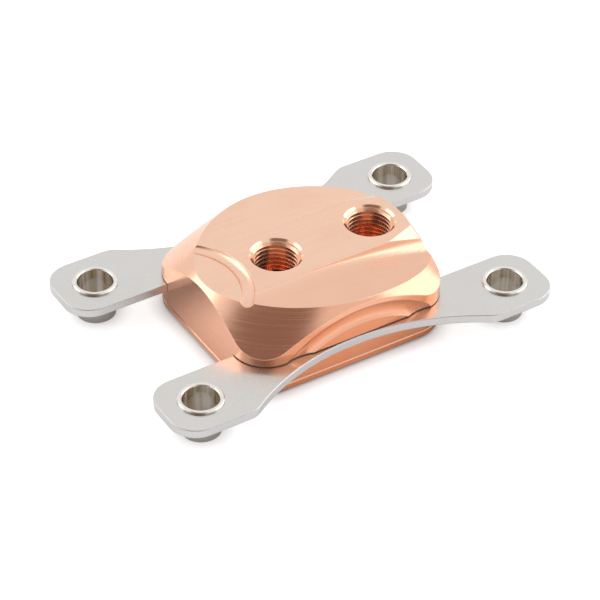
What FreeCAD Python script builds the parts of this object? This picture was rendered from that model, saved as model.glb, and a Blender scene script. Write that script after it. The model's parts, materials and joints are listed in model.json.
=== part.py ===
import FreeCAD, Part
import math
import os

# Water-cooled cold plate: a machined copper block in two steel brackets.
# Millimetres, +Z up. The origin is the centre of the flat contact face underneath.
# +X runs along the line of the two ports, from the grooved end to the other.

# --- block, outside ---
block_length = 62.0            # across the two flat ends
block_width = 54.6             # across the two flat sides
block_corner_r = 9.6           # upright corners
block_height = 22.0
foot_edge_r = 1.8
seam_z = 2.95                  # V-shaped seam round the foot
seam_depth = 0.25

# --- crown: the tapered skin of the upper block, an egg-shaped outline ---
# Radius at the top face, and radius gained per millimetre of depth, at five angles
# from +X round to -X. The other side is its mirror image.
crown_stations = (
    (0, 30.9, 0.86),
    (45, 28.7, 1.01),
    (90, 26.0, 0.72),
    (135, 26.4, 1.08),
    (180, 29.4, 1.20),
)

# --- top: flat band with a sloped shoulder on each side ---
band_half_width = 10.55
shoulder_drop = 0.2            # step beside the band, at its shallow end
shoulder_start_x = -15.0       # the shoulder is level up to here
shoulder_r = 227.0             # and then falls away on this arc
band_wall_angle = 80.0         # lean of the step, from level
cove_r_shallow = 0.3           # hollow corner between step and shoulder
cove_r_deep = 6.0
band_corner_length = 10.0      # each corner of the band breaks away over this length
band_corner_width = 3.5
band_corner_tilt = 29.0

# --- top: crescent facet and its groove ---
facet_depth = 0.45
groove_centre_offset = 8.2     # ring's centre, beyond the -X end
groove_ring_r = 19.6
groove_section_r = 2.5
groove_depth = 1.1

# --- flat sides: arched groove, from the slot up and back down to it ---
arch_centre_x = 2.0
arch_centre_drop = 38.3        # below the top face
arch_r = 32.5
arch_width = 4.8
arch_depth = 0.75

# --- threaded ports, parallel pipe thread of 1/4 inch ---
port_end_margin = 9.35         # outlet port's axis, from the +X end
port_spacing = 29.25
thread_major_r = 13.157 / 2
port_depth = 9.5
port_mouth_r = 7.25
port_drill_angle = 118.0

# --- brackets ---
bracket_thickness = 2.5
bracket_z = 7.25               # height of the slot's floor, on which the bracket rests
bracket_inner_y = 17.25
bracket_outer_y = 38.9
bracket_half_length = 57.95
bracket_corner_r = 7.6
bracket_waist_y = 27.5         # the outer edge curves in to here at the middle
bracket_waist_r = 65.0
bracket_shoulder_r = 6.0
bracket_edge = 0.2
slot_side_clearance = 0.05
slot_top_clearance = 0.3

# --- mounting holes and their bushings ---
hole_spacing_x = 94.0
hole_spacing_y = 56.0
bushing_bore_r = 4.83
bushing_wall = 0.52
bushing_rim_r = 6.1
bushing_rim_height = 0.65
bushing_edge = 0.25
bushing_clearance = 0.03

# --- finned insert under the block ---
insert_end_wall = 3.0          # copper left around the insert
insert_side_wall = 7.3
insert_thickness = 3.0
insert_corner_r = 5.0
insert_clearance = 0.05
fin_pitch = 1.0
fin_thickness = 0.5
fin_height = 2.5
fin_end_gap = 5.0              # open ends of the chamber, where the water turns
fin_side_gap = 1.75

# --- water space ---
chamber_end_margin = 8.5       # from the insert's edge
chamber_side_margin = 8.0
chamber_corner_r = 3.0
inlet_offset_x = 2.3           # inlet slot's near edge, past the port's axis
inlet_far_x = 3.7              # and its far edge
inlet_length = 16.0
riser_r = 2.6
riser_end_gap = 0.1

# --- jet plate ---
jet_margin = 2.5               # fins left open past its ends, and gap at its sides
jet_thickness = 0.8
jet_slot_width = 1.6
jet_clearance = 0.05

# --- seal ---
seal_gap = 0.9                 # land between the chamber and the seal's groove
seal_groove_width = 1.8
seal_groove_depth = 1.2
seal_side_clearance = 0.15
seal_edge = 0.35

# --- screws, M2.5 countersunk ---
screw_r = 1.25
screw_head_r = 2.35
screw_sink = 0.15              # head below the contact face
screw_clearance = 0.1
socket_across_flats = 1.5
socket_depth = 0.9
plate_screw_length = 6.3
plate_screw_margin = 3.6       # axes, from the insert's edge
bracket_screw_length = 9.2
bracket_screw_x = 13.0
bracket_screw_margin = 4.3     # axes, from the block's side

# --- worked out from the sizes above ---
half_length = block_length / 2
half_width = block_width / 2
port_x = (half_length - port_end_margin - port_spacing, half_length - port_end_margin)
insert_length = block_length - 2 * insert_end_wall
insert_width = block_width - 2 * insert_side_wall
chamber_length = insert_length - 2 * chamber_end_margin
chamber_width = insert_width - 2 * chamber_side_margin
fin_length = chamber_length - 2 * fin_end_gap
fin_count = int((chamber_width - 2 * fin_side_gap - fin_thickness) / fin_pitch) + 1
jet_length = fin_length - 2 * jet_margin
jet_width = chamber_width - 2 * jet_margin
plate_screw_x = insert_length / 2 - plate_screw_margin
plate_screw_y = insert_width / 2 - plate_screw_margin
bracket_screw_y = half_width - bracket_screw_margin
slot_top = bracket_z + bracket_thickness + slot_top_clearance
bracket_top = bracket_z + bracket_thickness
bushing_outer_r = bushing_bore_r + bushing_wall
chamber_top = insert_thickness + fin_height
port_floor = block_height - port_depth
over = 5.0                     # how far a cutting tool runs past what it cuts

up = FreeCAD.Vector(0, 0, 1)


def vec(x, y, z):
    return FreeCAD.Vector(x, y, z)


def centred_box(length, width, z0, z1):
    return Part.makeBox(length, width, z1 - z0, vec(-length / 2, -width / 2, z0))


def rounded_prism(length, width, corner_r, z0, z1):
    box = centred_box(length, width, z0, z1)
    uprights = [edge for edge in box.Edges if abs(edge.Vertexes[0].Z - edge.Vertexes[1].Z) > 1e-6]
    return box.makeFillet(corner_r, uprights)


def edges_at(solid, z):
    return [edge for edge in solid.Edges if all(abs(vertex.Z - z) < 1e-6 for vertex in edge.Vertexes)]


def cylinder(r, x, y, z0, z1):
    return Part.makeCylinder(r, z1 - z0, vec(x, y, z0))


def cone(r_low, r_high, x, y, z0, z1):
    return Part.makeCone(r_low, r_high, z1 - z0, vec(x, y, z0))


def extruded(points, direction):
    return Part.Face(Part.makePolygon(points + points[:1])).extrude(direction)


def mirrored_y(shape):
    return shape.mirror(vec(0, 0, 0), vec(0, 1, 0))


def crown_outline(z, inset):
    """Closed smooth outline of the crown at one height."""
    radii = [(angle, r + run * (block_height - z) - inset) for angle, r, run in crown_stations]
    radii += [(360 - angle, r) for angle, r in reversed(radii[1:-1])]
    points = []
    for angle, r in radii:
        a = math.radians(angle)
        points.append(vec(r * math.cos(a), r * math.sin(a), z))
    curve = Part.BSplineCurve()
    curve.interpolate(Points=points, PeriodicFlag=True)
    return Part.Wire(curve.toShape())


def crown(inset=0.0):
    """Tapered skin as a straight-sided loft from the contact face to the top."""
    outlines = [crown_outline(0, inset), crown_outline(block_height, inset)]
    return Part.makeLoft(outlines, True, True)


def block_envelope():
    """Slab on a rounded foot, with a seam where they meet, inside the crown's taper."""
    foot = rounded_prism(block_length, block_width, block_corner_r, 0, seam_z)
    foot = foot.makeChamfer(seam_depth, edges_at(foot, seam_z))
    foot = foot.makeFillet(foot_edge_r, edges_at(foot, 0))
    slab = rounded_prism(block_length, block_width, block_corner_r, seam_z, block_height)
    slab = slab.makeChamfer(seam_depth, edges_at(slab, seam_z))
    return slab.fuse(foot).common(crown())


def shoulder_tool():
    """Cuts the sloped shoulder on the +Y side: level, then an arc that falls towards +X."""
    level = block_height - shoulder_drop
    reach = half_length + over
    fall = shoulder_r - math.sqrt(shoulder_r ** 2 - (reach - shoulder_start_x) ** 2)
    sag = shoulder_r - math.sqrt(shoulder_r ** 2 - ((reach - shoulder_start_x) / 2) ** 2)
    lean = 1 / math.tan(math.radians(band_wall_angle))
    crown = block_height + over
    start = vec(-reach, 0, level)
    bend = vec(shoulder_start_x, 0, level)
    middle = vec((reach + shoulder_start_x) / 2, 0, level - sag)
    end = vec(reach, 0, level - fall)
    outline = [
        Part.makeLine(start, bend),
        Part.Arc(bend, middle, end).toShape(),
        Part.makeLine(end, vec(reach, 0, crown)),
        Part.makeLine(vec(reach, 0, crown), vec(-reach, 0, crown)),
        Part.makeLine(vec(-reach, 0, crown), start),
    ]
    slab = Part.Face(Part.Wire(outline)).extrude(vec(0, half_width + over, 0))
    foot_y = band_half_width + (block_height - (level - fall - over)) * lean
    crown_y = band_half_width - over * lean
    wall = extruded([
        vec(-reach, foot_y, level - fall - over),
        vec(-reach, crown_y, crown),
        vec(-reach, half_width + over, crown),
        vec(-reach, half_width + over, level - fall - over),
    ], vec(2 * reach, 0, 0))
    tool = slab.common(wall)
    for edge in tool.Edges:
        ends = [vertex.Point for vertex in edge.Vertexes]
        inner = all(p.y < half_width and p.z < crown - 1 for p in ends)
        if inner and abs(ends[0].x - ends[1].x) > over and max(p.x for p in ends) > 0:
            deep_end_first = ends[0].x > ends[1].x
            radii = (cove_r_deep, cove_r_shallow) if deep_end_first else (cove_r_shallow, cove_r_deep)
            return tool.makeFillet(radii[0], radii[1], [edge])
    return tool


def band_corner_tool():
    """Shallow flat that breaks the band's +X corner on the +Y side."""
    start_x = half_length - band_corner_length
    turn = math.degrees(math.atan2(-band_corner_width, band_corner_length))
    tool = Part.makeBox(3 * band_corner_length, 2 * over, over, vec(-over, 0, 0))
    tool.rotate(vec(0, 0, 0), vec(1, 0, 0), -band_corner_tilt)
    tool.rotate(vec(0, 0, 0), up, turn)
    tool.translate(vec(start_x, band_half_width, block_height))
    limit = Part.makeBox(3 * band_corner_length, band_half_width + 2, block_height,
                         vec(start_x - over, 0, over))
    return tool.common(limit)


def crescent_tool():
    """Sunken facet at the -X end, ringed by a ball-milled groove."""
    centre_x = -half_length - groove_centre_offset
    facet = cylinder(groove_ring_r, centre_x, 0, block_height - facet_depth, block_height + over)
    ring_z = block_height - groove_depth + groove_section_r
    groove = Part.makeTorus(groove_ring_r, groove_section_r, vec(centre_x, 0, ring_z), up)
    return facet.fuse(groove)


def arch_tool():
    """Ball-milled groove on an arc in the +Y side, above the slot."""
    section_r = (arch_width ** 2 / 4 + arch_depth ** 2) / (2 * arch_depth)
    centre = vec(arch_centre_x, half_width - arch_depth + section_r, block_height - arch_centre_drop)
    groove = Part.makeTorus(arch_r, section_r, centre, vec(0, 1, 0))
    above_slot = centred_box(block_length, 2 * block_width, bracket_top, block_height)
    return groove.common(above_slot)


def slot_tool():
    """Bracket slot on the +Y side, open at both ends."""
    inner_y = bracket_inner_y - slot_side_clearance
    return Part.makeBox(2 * block_length, block_width, slot_top - bracket_z,
                        vec(-block_length, inner_y, bracket_z))


def port_tool(x):
    """Threaded port: bore at the thread's major radius, mouth chamfer and drill point."""
    mouth = port_mouth_r - thread_major_r
    bore = cylinder(thread_major_r, x, 0, port_floor, block_height + over)
    chamfer = cone(thread_major_r, port_mouth_r, x, 0, block_height - mouth, block_height)
    point_depth = thread_major_r / math.tan(math.radians(port_drill_angle / 2)) / 2
    point = cone(thread_major_r / 2, thread_major_r, x, 0, port_floor - point_depth, port_floor)
    return bore.fuse([chamfer, point])


def water_space():
    """Chamber over the fins, the jet plate's seat, the inlet slot and the outlet riser."""
    chamber = rounded_prism(chamber_length, chamber_width, chamber_corner_r,
                            insert_thickness - over / 2, chamber_top)
    seat = centred_box(jet_length + 2 * jet_clearance, jet_width + 2 * jet_clearance,
                       chamber_top - 1, chamber_top + jet_thickness)
    inlet_x = port_x[0] + inlet_offset_x
    inlet = Part.makeBox(inlet_far_x - inlet_x, inlet_length, port_floor - chamber_top,
                         vec(inlet_x, -inlet_length / 2, chamber_top))
    riser_x = chamber_length / 2 - riser_end_gap - riser_r
    riser = cylinder(riser_r, riser_x, 0, chamber_top - 1, port_floor)
    return chamber.fuse([seat, inlet, riser])


def seal_loop(inset, z0, z1):
    """Closed band that follows the seal's path, inset from its groove walls."""
    reach = seal_gap + seal_groove_width
    outer = rounded_prism(chamber_length + 2 * (reach - inset), chamber_width + 2 * (reach - inset),
                          chamber_corner_r + reach - inset, z0, z1)
    inner = rounded_prism(chamber_length + 2 * (seal_gap + inset), chamber_width + 2 * (seal_gap + inset),
                          chamber_corner_r + seal_gap + inset, z0, z1)
    return outer.cut(inner)


def insert_pocket():
    gap = insert_clearance
    return rounded_prism(insert_length + 2 * gap, insert_width + 2 * gap, insert_corner_r + gap,
                         -over, insert_thickness)


def plate_screw_places():
    places = []
    for x in (-plate_screw_x, 0, plate_screw_x):
        for y in (-plate_screw_y, 0, plate_screw_y):
            if x or y:
                places.append((x, y))
    return places


def bracket_screw_places():
    return {
        "front_left": (-bracket_screw_x, -bracket_screw_y),
        "front_right": (bracket_screw_x, -bracket_screw_y),
        "back_left": (-bracket_screw_x, bracket_screw_y),
        "back_right": (bracket_screw_x, bracket_screw_y),
    }


def screw_hole(x, y, length):
    """Countersunk hole from below that clears one screw."""
    head_r = screw_head_r + screw_clearance
    shank_r = screw_r + screw_clearance
    mouth = cylinder(head_r, x, y, -over, screw_sink)
    sink = cone(head_r, shank_r, x, y, screw_sink, screw_sink + head_r - shank_r)
    shank = cylinder(shank_r, x, y, 0, screw_sink + length)
    return mouth.fuse([sink, shank])


def screw(x, y, length):
    """Countersunk screw, point up, with a hexagon socket in its head."""
    head_height = screw_head_r - screw_r
    head = cone(screw_head_r, screw_r, x, y, screw_sink, screw_sink + head_height)
    shank = cylinder(screw_r, x, y, screw_sink + head_height, screw_sink + length)
    corner_r = socket_across_flats / math.sqrt(3)
    corners = []
    for i in range(6):
        a = math.radians(60 * i)
        corners.append(vec(x + corner_r * math.cos(a), y + corner_r * math.sin(a), 0))
    socket = extruded(corners, vec(0, 0, screw_sink + socket_depth))
    return head.fuse(shank).removeSplitter().cut(socket)


def block_body():
    body = block_envelope()
    shoulder = shoulder_tool()
    corner = band_corner_tool()
    slot = slot_tool()
    arch = arch_tool()
    tools = [shoulder, mirrored_y(shoulder), corner, mirrored_y(corner), crescent_tool()]
    tools += [slot, mirrored_y(slot), arch, mirrored_y(arch)]
    tools += [port_tool(x) for x in port_x]
    tools += [insert_pocket(), water_space()]
    tools.append(seal_loop(0, insert_thickness, insert_thickness + seal_groove_depth))
    tools += [screw_hole(x, y, plate_screw_length) for x, y in plate_screw_places()]
    tools += [screw_hole(x, y, bracket_z) for x, y in bracket_screw_places().values()]
    for tool in tools:
        body = body.cut(tool)
    return body


def cold_plate():
    """Insert with upright fins that run along X."""
    plate = rounded_prism(insert_length, insert_width, insert_corner_r, 0, insert_thickness)
    profile = []
    for i in range(fin_count):
        left = (i - (fin_count - 1) / 2) * fin_pitch - fin_thickness / 2
        right = left + fin_thickness
        profile += [(left, insert_thickness), (left, chamber_top)]
        profile += [(right, chamber_top), (right, insert_thickness)]
    first, last = profile[0], profile[-1]
    profile += [(last[0], insert_thickness / 2), (first[0], insert_thickness / 2)]
    comb = extruded([vec(-fin_length / 2, y, z) for y, z in profile], vec(fin_length, 0, 0))
    plate = plate.fuse(comb)
    for x, y in plate_screw_places():
        plate = plate.cut(screw_hole(x, y, plate_screw_length))
    return plate


def jet_plate():
    plate = centred_box(jet_length, jet_width, chamber_top, chamber_top + jet_thickness)
    slot = centred_box(jet_slot_width, inlet_length - 2, chamber_top - 1, chamber_top + jet_thickness + 1)
    return plate.cut(slot)


def seal_ring():
    ring = seal_loop(seal_side_clearance, insert_thickness, insert_thickness + seal_groove_depth)
    rims = [edge for edge in ring.Edges
            if abs(edge.Vertexes[0].Z - edge.Vertexes[-1].Z) < 1e-6]
    return ring.makeFillet(seal_edge, rims)


def hole_places():
    return {
        "front_left": (-hole_spacing_x / 2, -hole_spacing_y / 2),
        "front_right": (hole_spacing_x / 2, -hole_spacing_y / 2),
        "back_left": (-hole_spacing_x / 2, hole_spacing_y / 2),
        "back_right": (hole_spacing_x / 2, hole_spacing_y / 2),
    }


def bracket_outline():
    """Bracket on the +Y side: straight inner edge, lobed ends, waisted outer edge."""
    waist_centre_y = bracket_waist_y + bracket_waist_r
    waist_half = math.sqrt(bracket_waist_r ** 2 - (waist_centre_y - bracket_outer_y) ** 2)
    inner_left = vec(-bracket_half_length, bracket_inner_y, bracket_z)
    inner_right = vec(bracket_half_length, bracket_inner_y, bracket_z)
    outer_right = vec(bracket_half_length, bracket_outer_y, bracket_z)
    outer_left = vec(-bracket_half_length, bracket_outer_y, bracket_z)
    waist_right = vec(waist_half, bracket_outer_y, bracket_z)
    waist_left = vec(-waist_half, bracket_outer_y, bracket_z)
    waist = vec(0, bracket_waist_y, bracket_z)
    edges = [
        Part.makeLine(inner_left, inner_right),
        Part.makeLine(inner_right, outer_right),
        Part.makeLine(outer_right, waist_right),
        Part.Arc(waist_right, waist, waist_left).toShape(),
        Part.makeLine(waist_left, outer_left),
        Part.makeLine(outer_left, inner_left),
    ]
    return Part.Face(Part.Wire(edges))


def bracket():
    plate = bracket_outline().extrude(vec(0, 0, bracket_thickness))
    uprights = [edge for edge in plate.Edges if abs(edge.Vertexes[0].Z - edge.Vertexes[1].Z) > 1]
    ends = [edge for edge in uprights if abs(edge.Vertexes[0].X) > bracket_half_length - 1]
    shoulders = [edge for edge in uprights if abs(edge.Vertexes[0].X) < bracket_half_length - 1]
    plate = plate.makeFillet(bracket_corner_r, ends)
    shoulder_x = abs(shoulders[0].Vertexes[0].X)
    again = [edge for edge in plate.Edges
             if abs(edge.Vertexes[0].Z - edge.Vertexes[-1].Z) > 1
             and abs(abs(edge.Vertexes[0].X) - shoulder_x) < 0.01]
    plate = plate.makeFillet(bracket_shoulder_r, again)
    rims = [edge for edge in plate.Edges if abs(edge.Vertexes[0].Z - edge.Vertexes[-1].Z) < 1e-6]
    plate = plate.makeChamfer(bracket_edge, rims)
    for x, y in hole_places().values():
        if y > 0:
            plate = plate.cut(cylinder(bushing_outer_r + bushing_clearance, x, y, 0, block_height))
    shank_r = screw_r + screw_clearance
    for x, y in bracket_screw_places().values():
        if y > 0:
            plate = plate.cut(cylinder(shank_r, x, y, 0, screw_sink + bracket_screw_length))
    return plate


def bushing(x, y):
    """Flanged sleeve: its rim rests on the bracket, its foot stands level with the block's."""
    rim_top = bracket_top + bushing_rim_height
    e = bushing_edge
    points = [
        vec(bushing_bore_r, 0, 0),
        vec(bushing_outer_r, 0, 0),
        vec(bushing_outer_r, 0, bracket_top),
        vec(bushing_rim_r, 0, bracket_top),
        vec(bushing_rim_r, 0, rim_top - e),
        vec(bushing_rim_r - e, 0, rim_top),
        vec(bushing_bore_r + e, 0, rim_top),
        vec(bushing_bore_r, 0, rim_top - e),
    ]
    face = Part.Face(Part.makePolygon(points + points[:1]))
    sleeve = face.revolve(vec(0, 0, 0), up, 360)
    sleeve.translate(vec(x, y, 0))
    return sleeve


def build():
    pieces = {
        "block_body": block_body(),
        "cold_plate": cold_plate(),
        "jet_plate": jet_plate(),
        "seal_ring": seal_ring(),
        "bracket_back": bracket(),
        "bracket_front": mirrored_y(bracket()),
    }
    for place, (x, y) in hole_places().items():
        pieces["bushing_" + place] = bushing(x, y)
    for number, (x, y) in enumerate(plate_screw_places(), 1):
        pieces["plate_screw_" + str(number)] = screw(x, y, plate_screw_length)
    for place, (x, y) in bracket_screw_places().items():
        pieces["bracket_screw_" + place] = screw(x, y, bracket_screw_length)
    return pieces


os.makedirs("parts", exist_ok=True)
for name, shape in build().items():
    solids = shape.Solids
    piece = solids[0] if len(solids) == 1 else shape
    print(name, len(solids), "solid", piece.isValid(), round(piece.Volume, 2), "mm3")
    piece.exportStep("parts/" + name + ".step")
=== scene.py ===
import json
import math

import bpy
from mathutils import Matrix, Vector


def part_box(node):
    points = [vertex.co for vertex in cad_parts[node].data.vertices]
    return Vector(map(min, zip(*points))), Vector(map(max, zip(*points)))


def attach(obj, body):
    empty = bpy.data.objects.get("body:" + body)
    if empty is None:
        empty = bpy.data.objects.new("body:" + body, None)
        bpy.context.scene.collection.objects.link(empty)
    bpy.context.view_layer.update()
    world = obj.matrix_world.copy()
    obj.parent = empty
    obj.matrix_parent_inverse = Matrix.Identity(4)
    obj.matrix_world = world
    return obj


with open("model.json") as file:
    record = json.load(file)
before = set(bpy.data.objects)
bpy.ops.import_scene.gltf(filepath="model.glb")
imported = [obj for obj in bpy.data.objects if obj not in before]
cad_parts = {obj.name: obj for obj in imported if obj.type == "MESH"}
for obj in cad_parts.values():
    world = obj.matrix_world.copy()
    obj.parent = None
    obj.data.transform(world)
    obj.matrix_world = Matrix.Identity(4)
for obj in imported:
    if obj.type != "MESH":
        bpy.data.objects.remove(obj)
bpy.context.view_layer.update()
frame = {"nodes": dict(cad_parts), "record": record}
nodes = frame["nodes"]
print("frame loaded:", len(nodes), "nodes")

scene = bpy.context.scene
mounts = {mount["name"]: mount for mount in frame["record"]["mounts"]}
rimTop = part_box("bushing_front_left")[1].z  # top of the bushings, the plane the camera is aimed from


def clearSelection():
    if bpy.context.mode != "OBJECT":
        bpy.ops.object.mode_set(mode="OBJECT")
    bpy.ops.object.select_all(action="DESELECT")


def activate(piece):
    clearSelection()
    piece.select_set(True)
    bpy.context.view_layer.objects.active = piece


occlusionSamples = 8
bevelSamples = 6


def addNode(tree, kind, settings=None, sockets=None):
    node = tree.nodes.new(kind)
    for key, value in (settings or {}).items():
        setattr(node, key, value)
    for key, value in (sockets or {}).items():
        node.inputs[key].default_value = value
    return node


def startMaterial(name):
    material = bpy.data.materials.new(name)
    material.use_nodes = True
    tree = material.node_tree
    tree.nodes.clear()
    output = addNode(tree, "ShaderNodeOutputMaterial")
    shader = addNode(tree, "ShaderNodeBsdfPrincipled")
    tree.links.new(shader.outputs["BSDF"], output.inputs["Surface"])
    return material, tree, shader


def grain(tree, stretch, detail=2.0, roughness=0.6):
    # noise drawn out into lines: stretch is its cycles per metre along X, Y and Z
    place = addNode(tree, "ShaderNodeTexCoord")
    mapping = addNode(tree, "ShaderNodeMapping", sockets={"Scale": stretch})
    noise = addNode(tree, "ShaderNodeTexNoise",
                    sockets={"Scale": 1.0, "Detail": detail, "Roughness": roughness})
    tree.links.new(place.outputs["Object"], mapping.inputs["Vector"])
    tree.links.new(mapping.outputs["Vector"], noise.inputs["Vector"])
    return noise.outputs["Fac"]


def remap(tree, source, low, high, outLow=0.0, outHigh=1.0):
    # a soft step: low gives outLow, high gives outHigh
    node = addNode(tree, "ShaderNodeMapRange", {"interpolation_type": "SMOOTHSTEP"},
                   {"From Min": low, "From Max": high, "To Min": outLow, "To Max": outHigh})
    tree.links.new(source, node.inputs["Value"])
    return node.outputs["Result"]


def blendValue(tree, factor, first, second):
    node = addNode(tree, "ShaderNodeMix", {"data_type": "FLOAT"})
    tree.links.new(factor, node.inputs[0])
    for socket, value in ((node.inputs[2], first), (node.inputs[3], second)):
        if isinstance(value, float):
            socket.default_value = value
        else:
            tree.links.new(value, socket)
    return node.outputs[0]


def blendColour(tree, factor, first, second):
    node = addNode(tree, "ShaderNodeMix", {"data_type": "RGBA"})
    tree.links.new(factor, node.inputs[0])
    for socket, value in ((node.inputs[6], first), (node.inputs[7], second)):
        if isinstance(value, tuple):
            socket.default_value = (*value, 1.0)
        else:
            tree.links.new(value, socket)
    return node.outputs[2]


def facing(tree, axis, low, high):
    # 1 on faces that look along that axis, either way, and 0 on faces that stand along it
    geometry = addNode(tree, "ShaderNodeNewGeometry")
    size = addNode(tree, "ShaderNodeMath", {"operation": "ABSOLUTE"})
    tree.links.new(axisPart(tree, geometry.outputs["Normal"], axis), size.inputs[0])
    return remap(tree, size.outputs[0], low, high)


def multiplied(tree, first, second):
    node = addNode(tree, "ShaderNodeMath", {"operation": "MULTIPLY"})
    tree.links.new(first, node.inputs[0])
    tree.links.new(second, node.inputs[1])
    return node.outputs[0]


def axisPart(tree, source, axis):
    parts = addNode(tree, "ShaderNodeSeparateXYZ")
    tree.links.new(source, parts.inputs["Vector"])
    return parts.outputs[axis]


def creviceShadeMask(tree, reach, low, high):
    # 1 deep in gaps and inside corners, 0 on open faces: where shade is painted in
    openness = addNode(tree, "ShaderNodeAmbientOcclusion", {"samples": occlusionSamples}, {"Distance": reach})
    return remap(tree, openness.outputs["AO"], high, low)


def roundedNormal(tree, radius):
    # the normal that the face would have if its edges were rounded
    return addNode(tree, "ShaderNodeBevel", {"samples": bevelSamples}, {"Radius": radius}).outputs["Normal"]


def edgeWearAndHighlight(tree, rounded, low, high):
    # 1 along convex and concave edges, where a rounded normal leaves the true one: there the edges are worn
    # smoother and a highlight is painted
    geometry = addNode(tree, "ShaderNodeNewGeometry")
    dot = addNode(tree, "ShaderNodeVectorMath", {"operation": "DOT_PRODUCT"})
    tree.links.new(geometry.outputs["Normal"], dot.inputs[0])
    tree.links.new(rounded, dot.inputs[1])
    return remap(tree, dot.outputs["Value"], high, low)


def axisDistance(tree, centre, everyQuarter=False):
    # distance from an upright axis, or from its mirror images in the other quarters as well
    place = addNode(tree, "ShaderNodeTexCoord").outputs["Object"]
    if everyQuarter:
        folded = addNode(tree, "ShaderNodeVectorMath", {"operation": "ABSOLUTE"})
        tree.links.new(place, folded.inputs[0])
        place = folded.outputs["Vector"]
    flat = addNode(tree, "ShaderNodeVectorMath", {"operation": "MULTIPLY"}, {1: (1.0, 1.0, 0.0)})
    reach = addNode(tree, "ShaderNodeVectorMath", {"operation": "DISTANCE"}, {1: (*centre, 0.0)})
    tree.links.new(place, flat.inputs[0])
    tree.links.new(flat.outputs["Vector"], reach.inputs[0])
    return reach.outputs["Value"]


def insidePorts(tree, radius):
    # 1 within that radius of either port's axis
    nearest = None
    for mount in (mounts["port_inlet"], mounts["port_outlet"]):
        reach = axisDistance(tree, mount["pos_m"][:2])
        if nearest is None:
            nearest = reach
        else:
            least = addNode(tree, "ShaderNodeMath", {"operation": "MINIMUM"})
            tree.links.new(nearest, least.inputs[0])
            tree.links.new(reach, least.inputs[1])
            nearest = least.outputs[0]
    inside = addNode(tree, "ShaderNodeMath", {"operation": "LESS_THAN"}, {1: radius})
    tree.links.new(nearest, inside.inputs[0])
    return inside.outputs[0]


def addBump(tree, shader, height, distance, strength=1.0, normal=None):
    bump = addNode(tree, "ShaderNodeBump", sockets={"Distance": distance, "Strength": strength})
    tree.links.new(height, bump.inputs["Height"])
    if normal:
        tree.links.new(normal, bump.inputs["Normal"])
    tree.links.new(bump.outputs["Normal"], shader.inputs["Normal"])


def setMaterial(piece, material):
    piece.data.materials.clear()
    piece.data.materials.append(material)


# metres; the block's finish reads the mouth's radius as well
threadSizes = {
    "pitch": 0.001337,
    "crestRadius": 0.0057225,
    "crestWidth": 0.00030,
    "rootWidth": 0.00119,
    "sunk": 0.00006,          # how far the ridge runs into the wall
    "stepsPerTurn": 96,
    "mouthRadius": 0.00725,   # at the block's top
    "trimMargin": 0.003,
    "trimGap": 0.00001,       # trimmed ridge lies this far under the mouth's cone
    "mergeDistance": 0.000001,
    "smoothAngle": 35,        # degrees
}

copperLook = {
    "colour": (0.93, 0.62, 0.455),        # level faces, freshly machined, linear
    "sideShadeColour": (0.87, 0.455, 0.295),   # upright faces: painted shade and reflection, a deeper orange than level faces
    "flankShadeColour": (0.78, 0.30, 0.15),    # upright faces that look along Y, below the crown: painted shade and reflection, a deep orange
    "flankShadeTop": (0.0185, 0.0160),         # metres along Z over which it comes in
    "flankTilt": (0.40, 0.05),            # and how far a face may look up
    # painted shade: dark brown in gaps and inside corners
    "creviceShadeColour": (0.40, 0.17, 0.09),
    "creviceShadeReach": 0.0022,
    "creviceShadeEdges": (0.30, 0.72),
    "deepColour": (0.80, 0.43, 0.29),     # in the tool marks
    # edgeColour: a painted highlight, lighter along the edges
    "edgeColour": (0.97, 0.76, 0.62),
    "topGrain": (30.0, 4200.0, 30.0),     # cycles per metre: drawn out along X
    "sideGrain": (30.0, 30.0, 4200.0),    # level lines round the crown and the sides
    "bandGrain": (20.0, 20.0, 1500.0),    # broader bands between them
    "roughness": (0.20, 0.28),
    "bumpHeight": 0.0000011,
    "topShare": 0.15,                     # of that height on level faces
    "portColour": (0.94, 0.60, 0.43),     # tapped bores and their mouths
    "portRoughness": 0.13,
    "frontShoulderTone": (0.86, 0.49, 0.335),       # a deeper orange blended in toward the -Y shoulder, along Y
    "frontToneFrom": -0.009,                # metres along Y
    "frontToneTo": -0.016,
    "frontToneShare": 0.6,
    "edgeRadius": 0.00025,
    "wearAndHighlightEdges": (0.80, 0.985),           # cosine between the rounded and the true normal
    "wornRoughness": 0.18,
    "levelTilt": (0.90, 0.97),            # how far a face looks up, from upright grain to level
    "topTilt": (0.55, 0.97),              # and from the painted side shade to the top colour
    "uprightTilt": (0.60, 0.98),
    "blotches": (60.0, 60.0, 60.0),
    "blotchTone": (0.45, 0.75, 0.0, 0.2),  # noise from, to, and the shares of deepColour they give
    "markEdges": (0.38, 0.66),
    "markShare": 0.16,
    "bandDepth": (0.3, 0.7, 0.6, 1.0),
}


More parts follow.
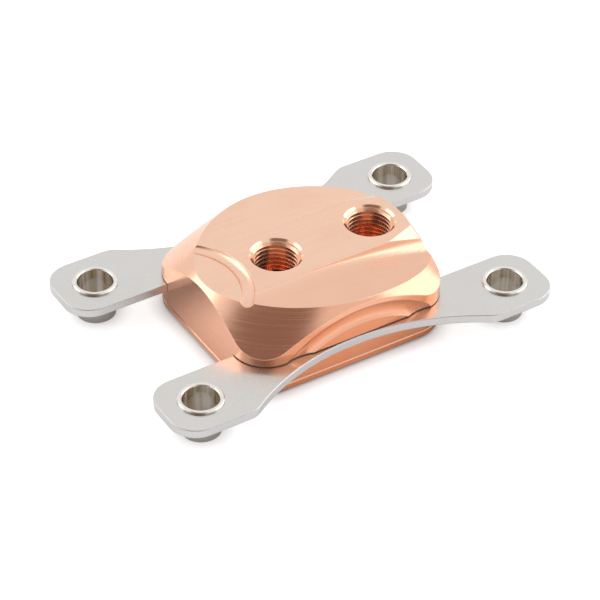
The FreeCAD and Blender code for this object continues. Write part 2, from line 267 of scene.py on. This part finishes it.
def makeCopper():
    look = copperLook
    material, tree, shader = startMaterial("copper_machined")
    level = facing(tree, "Z", *look["levelTilt"])
    fine = blendValue(tree, level, grain(tree, look["sideGrain"]), grain(tree, look["topGrain"]))
    broad = grain(tree, look["bandGrain"], 1.0)
    blotch = grain(tree, look["blotches"], 3.0)
    marks = remap(tree, fine, *look["markEdges"])
    depth = multiplied(tree, marks, remap(tree, broad, *look["bandDepth"]))
    rounded = roundedNormal(tree, look["edgeRadius"])
    wearAndHighlight = edgeWearAndHighlight(tree, rounded, *look["wearAndHighlightEdges"])
    place = addNode(tree, "ShaderNodeTexCoord").outputs["Object"]
    normal = addNode(tree, "ShaderNodeNewGeometry").outputs["Normal"]
    front = remap(tree, axisPart(tree, place, "Y"), look["frontToneFrom"], look["frontToneTo"],
                  0.0, look["frontToneShare"])
    topTone = blendColour(tree, front, look["colour"], look["frontShoulderTone"])
    # painted shade and reflection: the mask for the deep orange on Y-facing upright faces below the crown
    upright = multiplied(tree, facing(tree, "Y", *look["uprightTilt"]),
                         remap(tree, axisPart(tree, normal, "Z"), *look["flankTilt"]))
    flank = multiplied(tree, upright, remap(tree, axisPart(tree, place, "Z"), *look["flankShadeTop"]))
    sides = blendColour(tree, flank, look["sideShadeColour"], look["flankShadeColour"])
    # painted shade and reflection: upright faces take the deeper side colours, level faces the top colour
    toned = blendColour(tree, facing(tree, "Z", *look["topTilt"]), sides, topTone)
    stained = blendColour(tree, remap(tree, blotch, *look["blotchTone"]), toned, look["deepColour"])
    scored = remap(tree, depth, 0.0, 1.0, 0.0, look["markShare"])
    marked = blendColour(tree, scored, stained, look["deepColour"])
    ports = insidePorts(tree, threadSizes["mouthRadius"])
    gapShade = creviceShadeMask(tree, look["creviceShadeReach"], *look["creviceShadeEdges"])
    # painted highlight: the edges take the lighter edge colour
    edged = blendColour(tree, wearAndHighlight, marked, look["edgeColour"])
    # painted shade in the gaps and inside corners
    edged = blendColour(tree, gapShade, edged, look["creviceShadeColour"])
    tree.links.new(blendColour(tree, ports, edged, look["portColour"]), shader.inputs["Base Color"])
    roughness = remap(tree, depth, 0.0, 1.0, *look["roughness"])
    edgeBlend = blendValue(tree, wearAndHighlight, roughness, look["wornRoughness"])
    tree.links.new(blendValue(tree, ports, edgeBlend, look["portRoughness"]), shader.inputs["Roughness"])
    # narrow gaps, where shade is painted in dark brown, are made matte, so that they show that colour and
    # don't go black
    bare = blendValue(tree, gapShade, 1.0, 0.0)
    tree.links.new(blendValue(tree, ports, bare, 1.0), shader.inputs["Metallic"])
    height = multiplied(tree, fine, blendValue(tree, level, 1.0, look["topShare"]))
    addBump(tree, shader, height, look["bumpHeight"], 1.0, rounded)
    return material


threadLook = {
    "toolMarks": (300.0, 300.0, 2400.0),
    "bumpHeight": 0.0000006,
    # painted reflection: a deeper orange than the block's faces, for light bounced round inside the bore
    "colour": (0.88, 0.50, 0.33),
    "deepColour": (0.72, 0.32, 0.18),
    "roughness": (0.12, 0.22),
    "metallic": 0.82,          # a little matte, as deep bores fill with light
    "toneShare": (0.4, 0.7, 0.0, 0.5),
    "roughEdges": (0.3, 0.7),
}


def makeThreadCopper():
    look = threadLook
    material, tree, shader = startMaterial("copper_thread")
    marks = grain(tree, look["toolMarks"], 2.0)
    deep = remap(tree, marks, *look["toneShare"])
    tree.links.new(blendColour(tree, deep, look["colour"], look["deepColour"]), shader.inputs["Base Color"])
    tree.links.new(remap(tree, marks, *look["roughEdges"], *look["roughness"]), shader.inputs["Roughness"])
    shader.inputs["Metallic"].default_value = look["metallic"]
    addBump(tree, shader, marks, look["bumpHeight"])
    return material


baseLook = {
    "colour": (0.88, 0.56, 0.40),
    "deepColour": (0.80, 0.45, 0.31),
    "lapping": (70.0, 5200.0, 70.0),
    "roughness": (0.22, 0.40),
    "roughEdges": (0.35, 0.7),
    "blotches": (90.0, 90.0, 90.0),
    "blotchTone": (0.4, 0.75, 0.0, 0.6),
    "lineTone": (0.4, 0.7, 0.0, 0.5),
    "bumpHeight": 0.000006,
}


def makeBaseCopper():
    look = baseLook
    material, tree, shader = startMaterial("copper_lapped")
    lines = grain(tree, look["lapping"], 3.0)
    blotch = grain(tree, look["blotches"], 3.0)
    stain = remap(tree, blotch, *look["blotchTone"])
    toned = blendColour(tree, stain, look["colour"], look["deepColour"])
    scored = remap(tree, lines, *look["lineTone"])
    tree.links.new(blendColour(tree, scored, toned, look["deepColour"]), shader.inputs["Base Color"])
    tree.links.new(remap(tree, lines, *look["roughEdges"], *look["roughness"]), shader.inputs["Roughness"])
    shader.inputs["Metallic"].default_value = 1.0
    addBump(tree, shader, lines, look["bumpHeight"])
    return material


bracketLook = {
    "colour": (0.72, 0.70, 0.665),
    "darkColour": (0.64, 0.625, 0.60),
    "edgeColour": (0.60, 0.59, 0.585),    # cut sides
    "speckle": 5200.0,
    "cutLines": (3800.0, 3800.0, 90.0),
    "bevelShadeColour": (0.57, 0.56, 0.55),    # the broken edges, duller than the faces and painted darker as shade, to hold back a lamp's highlight
    "bevelRoughness": 0.45,
    "roughness": (0.24, 0.34),
    "edgeRadius": 0.0003,
    # painted shade and copper reflection: brown in gaps and inside corners
    "creviceShadeColour": (0.34, 0.16, 0.09),
    "creviceShadeReach": 0.0012,
    "creviceShadeEdges": (0.25, 0.60),
    "bumpHeight": 0.0000035,
    "bumpStrength": 0.7,
    "clouds": (70.0, 70.0, 70.0),
    "cloudTone": (0.4, 0.8, 0.0, 0.35),
    "speckleTone": (0.35, 0.7, 0.0, 0.7),
    "roughEdges": (0.3, 0.7),
    "levelTilt": (0.35, 0.7),             # how far a face looks up, from cut side to face
    "bevelFrom": (0.50, 0.62),            # a broken edge looks up more than this
    "bevelTo": (0.92, 0.80),              # and less than this
}


def makeBracketSteel():
    look = bracketLook
    material, tree, shader = startMaterial("bracket_satin_steel")
    speckle = grain(tree, (look["speckle"],) * 3, 2.0)
    cut = grain(tree, look["cutLines"], 2.0)
    cloud = grain(tree, look["clouds"], 2.0)
    level = facing(tree, "Z", *look["levelTilt"])
    texture = blendValue(tree, level, cut, speckle)
    dark = remap(tree, speckle, *look["speckleTone"])
    faces = blendColour(tree, dark, look["colour"], look["darkColour"])
    faces = blendColour(tree, remap(tree, cloud, *look["cloudTone"]), faces, look["darkColour"])
    toned = blendColour(tree, level, look["edgeColour"], faces)
    rounded = roundedNormal(tree, look["edgeRadius"])
    bevel = multiplied(tree, facing(tree, "Z", *look["bevelFrom"]), facing(tree, "Z", *look["bevelTo"]))
    # painted shade: the chamfers are darkened against a lamp's highlight
    edgeBlend = blendColour(tree, bevel, toned, look["bevelShadeColour"])
    gapShade = creviceShadeMask(tree, look["creviceShadeReach"], *look["creviceShadeEdges"])
    # painted shade in the gaps and inside corners
    tree.links.new(blendColour(tree, gapShade, edgeBlend, look["creviceShadeColour"]), shader.inputs["Base Color"])
    satin = remap(tree, texture, *look["roughEdges"], *look["roughness"])
    tree.links.new(blendValue(tree, bevel, satin, look["bevelRoughness"]), shader.inputs["Roughness"])
    tree.links.new(blendValue(tree, gapShade, 1.0, 0.0), shader.inputs["Metallic"])
    addBump(tree, shader, texture, look["bumpHeight"], look["bumpStrength"], rounded)
    return material


nickelLook = {
    "rimColour": (0.84, 0.80, 0.74),
    "colour": (0.97, 0.92, 0.85),
    "streakReflectionColour": (0.62, 0.52, 0.39),
    "outerColour": (0.52, 0.49, 0.45),    # the sleeve's outside, in the bracket's shade
    "reflectionStreaks": (420.0, 420.0, 6.0),       # painted reflections: upright warm, darker bands down the bore
    "drawLines": (3200.0, 3200.0, 60.0),
    "roughness": (0.08, 0.18),
    "rimRoughness": 0.24,
    "rimTilt": (0.3, 0.8),
    "streakEdges": (0.36, 0.66),
    "roughEdges": (0.35, 0.7),
    "outsideFrom": (0.0002, 0.0003),      # metres past the bore's wall
    "bumpHeight": 0.000004,
}


def makeNickel():
    look = nickelLook
    material, tree, shader = startMaterial("bushing_polished_nickel")
    lines = grain(tree, look["drawLines"], 2.0)
    reflectionStreaks = grain(tree, look["reflectionStreaks"], 2.0)
    # painted reflection: warm, darker streaks down the bore walls
    walls = blendColour(tree, remap(tree, reflectionStreaks, *look["streakEdges"]), look["colour"], look["streakReflectionColour"])
    pattern = mounts["bracket_holes"]["dims"]
    centre = (pattern["spacing_x_mm"] / 2000, pattern["spacing_y_mm"] / 2000)
    bore = pattern["hole_r_mm"] / 1000
    start, full = look["outsideFrom"]
    outside = remap(tree, axisDistance(tree, centre, True), bore + start, bore + full)
    walls = blendColour(tree, outside, walls, look["outerColour"])
    rim = facing(tree, "Z", *look["rimTilt"])
    tree.links.new(blendColour(tree, rim, walls, look["rimColour"]), shader.inputs["Base Color"])
    drawn = remap(tree, lines, *look["roughEdges"], *look["roughness"])
    tree.links.new(blendValue(tree, rim, drawn, look["rimRoughness"]), shader.inputs["Roughness"])
    shader.inputs["Metallic"].default_value = 1.0
    addBump(tree, shader, lines, look["bumpHeight"])
    return material


sheetLook = {
    "colour": (0.62, 0.62, 0.62),
    "scratches": (80.0, 3000.0, 80.0),
    "roughness": (0.25, 0.40),
}
screwLook = {
    "colour": (0.50, 0.50, 0.51),
    "scratches": (2600.0, 2600.0, 2600.0),
    "roughness": (0.22, 0.38),
}
plainSteelLook = {
    "darkShare": 0.82,          # of the colour, in the scratches
    "toneEdges": (0.4, 0.7),
    "roughEdges": (0.3, 0.7),
    "bumpHeight": 0.000006,
}


def makePlainSteel(name, own):
    look = plainSteelLook
    material, tree, shader = startMaterial(name)
    marks = grain(tree, own["scratches"], 2.0)
    darker = tuple(look["darkShare"] * part for part in own["colour"])
    scratched = remap(tree, marks, *look["toneEdges"])
    tree.links.new(blendColour(tree, scratched, own["colour"], darker), shader.inputs["Base Color"])
    tree.links.new(remap(tree, marks, *look["roughEdges"], *own["roughness"]), shader.inputs["Roughness"])
    shader.inputs["Metallic"].default_value = 1.0
    addBump(tree, shader, marks, look["bumpHeight"])
    return material


rubberLook = {
    "mottle": (2500.0, 2500.0, 2500.0),
    "colour": (0.012, 0.012, 0.013),
    "paleColour": (0.035, 0.034, 0.034),
    "roughEdges": (0.3, 0.7),
    "roughness": (0.5, 0.75),
    "bumpHeight": 0.00001,
}


def makeRubber():
    look = rubberLook
    material, tree, shader = startMaterial("seal_rubber")
    mottle = grain(tree, look["mottle"], 3.0)
    tree.links.new(blendColour(tree, mottle, look["colour"], look["paleColour"]), shader.inputs["Base Color"])
    tree.links.new(remap(tree, mottle, *look["roughEdges"], *look["roughness"]), shader.inputs["Roughness"])
    addBump(tree, shader, mottle, look["bumpHeight"])
    return material


finishes = {
    "block_body": makeCopper(),
    "cold_plate": makeBaseCopper(),
    "jet_plate": makePlainSteel("jet_sheet", sheetLook),
    "seal_ring": makeRubber(),
    "bracket": makeBracketSteel(),
    "bushing": makeNickel(),
    "screw": makePlainSteel("screw_steel", screwLook),
}
threadCopper = makeThreadCopper()


def finishName(node):
    # screws come first, as the names of some hold "bracket" as well
    for family in ("screw", "bracket", "bushing"):
        if family in node:
            return family
    return node


for name, node in nodes.items():
    setMaterial(node, finishes[finishName(name)])
print("finishes assigned:", len(finishes))


def trimToMouth(ridge, x, y, top):
    # takes off what stands above the port's 45 degree mouth
    size = threadSizes
    depth = size["mouthRadius"] - size["crestRadius"] + size["trimMargin"]
    height = depth + size["trimMargin"]
    narrow = size["mouthRadius"] - depth
    clearSelection()
    bpy.ops.mesh.primitive_cone_add(vertices=size["stepsPerTurn"], depth=height,
                                    radius1=narrow, radius2=narrow + height,
                                    location=(x, y, top - depth + height / 2 - size["trimGap"]))
    cutter = bpy.context.object
    trim = ridge.modifiers.new("mouth", "BOOLEAN")
    trim.operation = "DIFFERENCE"
    trim.solver = "EXACT"
    trim.object = cutter
    activate(ridge)
    bpy.ops.object.modifier_apply(modifier="mouth")
    bpy.data.objects.remove(cutter)


def addThread(name, mount):
    size = threadSizes
    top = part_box("block_body")[1].z
    wall = mount["dims"]["r_mm"] / 1000
    x, y = mount["pos_m"][0], mount["pos_m"][1]
    floor = mount["pos_m"][2] - mount["dims"]["length_mm"] / 2000
    rootRadius = wall + size["sunk"]
    clearSelection()
    bpy.ops.mesh.primitive_plane_add(size=1.0, location=(0.0, 0.0, 0.0))
    ridge = bpy.context.object
    ridge.name = name
    corners = ((rootRadius, -size["rootWidth"] / 2), (size["crestRadius"], -size["crestWidth"] / 2),
               (size["crestRadius"], size["crestWidth"] / 2), (rootRadius, size["rootWidth"] / 2))
    order = [ridge.data.polygons[0].vertices[i] for i in range(4)]
    for index, (radius, height) in zip(order, corners):
        ridge.data.vertices[index].co = (radius, 0.0, height)
    screw = ridge.modifiers.new("turns", "SCREW")
    screw.axis = "Z"
    screw.screw_offset = size["pitch"]
    screw.iterations = math.ceil((top - floor) / size["pitch"])
    screw.steps = screw.render_steps = size["stepsPerTurn"]
    screw.use_merge_vertices = False
    screw.use_normal_calculate = True
    activate(ridge)
    bpy.ops.object.modifier_apply(modifier="turns")
    bpy.ops.object.mode_set(mode="EDIT")
    bpy.ops.mesh.select_all(action="SELECT")
    bpy.ops.mesh.remove_doubles(threshold=size["mergeDistance"])
    bpy.ops.transform.translate(value=(x, y, floor))
    bpy.ops.mesh.select_all(action="DESELECT")
    bpy.ops.mesh.select_non_manifold(extend=False)
    bpy.ops.mesh.fill_holes(sides=len(corners))
    bpy.ops.mesh.select_all(action="SELECT")
    bpy.ops.mesh.normals_make_consistent(inside=False)
    bpy.ops.object.mode_set(mode="OBJECT")
    trimToMouth(ridge, x, y, top)
    bpy.ops.object.shade_smooth_by_angle(angle=math.radians(size["smoothAngle"]))
    return ridge


for end in ("inlet", "outlet"):
    thread = addThread("port_thread_" + end, mounts["port_" + end])
    setMaterial(thread, threadCopper)
    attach(thread, "root")
print("port threads cut")

stageLook = {
    "floorSize": 3.0,
    "floorColour": (0.62, 0.62, 0.62),
    "floorLift": 0.75,               # brings the open floor up to white for the camera
    "mirrorLift": 0.52,              # and in the metal
    "shadowReach": 0.005,            # the lift fades this near to the object
    "mirrorReach": 0.013,            # as the metal shows it
    "shadowSamples": 12,
    "tentLight": (0.95, 0.95, 0.96),
    "openingLight": (0.28, 0.20, 0.175),   # the tent's dark opening, where the camera looks in
    "openingTo": (-0.435, -0.435, 0.788),
    "openingEdge": (0.83, 0.94),     # cosine of the angle from its middle
}


def rayStrength(tree, forCamera, forMirrors):
    # one strength for camera rays and another for what shows in metal and glass
    path = addNode(tree, "ShaderNodeLightPath")
    mirrors = addNode(tree, "ShaderNodeMath", {"operation": "MAXIMUM"})
    share = addNode(tree, "ShaderNodeMath", {"operation": "MULTIPLY"}, {1: forMirrors})
    tree.links.new(path.outputs["Is Glossy Ray"], mirrors.inputs[0])
    tree.links.new(path.outputs["Is Transmission Ray"], mirrors.inputs[1])
    tree.links.new(mirrors.outputs[0], share.inputs[0])
    return blendValue(tree, path.outputs["Is Camera Ray"], share.outputs[0], forCamera)


def addFloor():
    look = stageLook
    clearSelection()
    bpy.ops.mesh.primitive_plane_add(size=look["floorSize"], location=(0.0, 0.0, 0.0))
    floor = bpy.context.object
    floor.name = "studio_floor"
    material = bpy.data.materials.new("floor_white")
    material.use_nodes = True
    tree = material.node_tree
    tree.nodes.clear()
    output = addNode(tree, "ShaderNodeOutputMaterial")
    matte = addNode(tree, "ShaderNodeBsdfDiffuse", sockets={"Color": (*look["floorColour"], 1.0)})
    glow = addNode(tree, "ShaderNodeEmission")
    total = addNode(tree, "ShaderNodeAddShader")
    openness = []
    for reach in (look["mirrorReach"], look["shadowReach"]):
        near = addNode(tree, "ShaderNodeAmbientOcclusion",
                       {"samples": look["shadowSamples"]}, {"Distance": reach})
        openness.append(near.outputs["AO"])
    seen = addNode(tree, "ShaderNodeLightPath").outputs["Is Camera Ray"]
    tree.links.new(blendValue(tree, seen, *openness), glow.inputs["Color"])
    tree.links.new(rayStrength(tree, look["floorLift"], look["mirrorLift"]), glow.inputs["Strength"])
    tree.links.new(matte.outputs[0], total.inputs[0])
    tree.links.new(glow.outputs[0], total.inputs[1])
    tree.links.new(total.outputs[0], output.inputs["Surface"])
    setMaterial(floor, material)


def addTent():
    # the world is a white light tent with one soft dark opening; the camera sees plain white
    look = stageLook
    world = bpy.data.worlds.new("light_tent")
    world.use_nodes = True
    scene.world = world
    tree = world.node_tree
    tree.nodes.clear()
    output = addNode(tree, "ShaderNodeOutputWorld")
    direction = addNode(tree, "ShaderNodeTexCoord")
    dot = addNode(tree, "ShaderNodeVectorMath", {"operation": "DOT_PRODUCT"},
                  {1: Vector(look["openingTo"]).normalized()})
    tree.links.new(direction.outputs["Generated"], dot.inputs[0])
    opening = remap(tree, dot.outputs["Value"], *look["openingEdge"])
    tent = blendColour(tree, opening, look["tentLight"], look["openingLight"])
    shown = blendColour(tree, rayStrength(tree, 1.0, 0.0), tent, (1.0, 1.0, 1.0))
    background = addNode(tree, "ShaderNodeBackground")
    tree.links.new(shown, background.inputs["Color"])
    tree.links.new(background.outputs[0], output.inputs["Surface"])


lamps = {
    # name: direction it stands in, distance, size, watts
    "right_softbox": ((0.847, -0.275, 0.454), 0.9, 0.80, 2.6),
    "left_softbox": ((-0.54, 0.60, 0.59), 0.9, 0.56, 1.35),
}


def addLamps():
    for name, (direction, distance, size, watts) in lamps.items():
        light = bpy.data.lights.new(name, "AREA")
        light.size = size
        light.energy = watts
        lamp = bpy.data.objects.new(name, light)
        towards = Vector(direction).normalized()
        lamp.location = towards * distance
        lamp.rotation_euler = towards.to_track_quat("Z", "Y").to_euler()
        scene.collection.objects.link(lamp)


cameraView = {
    "azimuth": -32.45,      # degrees; 0 looks along +Y
    "elevation": 38.5,
    "roll": 0.94,
    "distance": 0.7207,
    "lens": 162.0,          # mm, on a sensor this wide
    "sensor": 36.0,
    "clip": (0.05, 20.0),
    "aim": (-0.00006, -0.00535),   # sideways and up from the middle of the rims' plane
}


def addCamera():
    view = cameraView
    azimuth, elevation, roll = (math.radians(view[key]) for key in ("azimuth", "elevation", "roll"))
    back = Vector((math.sin(azimuth) * math.cos(elevation), -math.cos(azimuth) * math.cos(elevation),
                   math.sin(elevation)))
    level = (-back).cross(Vector((0.0, 0.0, 1.0))).normalized()
    upright = level.cross(-back)
    right = math.cos(roll) * level + math.sin(roll) * upright
    up = math.cos(roll) * upright - math.sin(roll) * level
    sideways, upwards = view["aim"]
    data = bpy.data.cameras.new("studio_camera")
    data.lens = view["lens"]
    data.sensor_width = view["sensor"]
    data.clip_start, data.clip_end = view["clip"]
    camera = bpy.data.objects.new("studio_camera", data)
    place = sideways * right + upwards * up + view["distance"] * back + Vector((0.0, 0.0, rimTop))
    turn = Matrix((right, up, back)).transposed().to_4x4()
    camera.matrix_world = Matrix.Translation(place) @ turn
    scene.collection.objects.link(camera)
    scene.camera = camera


addFloor()
addTent()
addLamps()
addCamera()
scene.view_settings.view_transform = "Standard"
print("stage set")
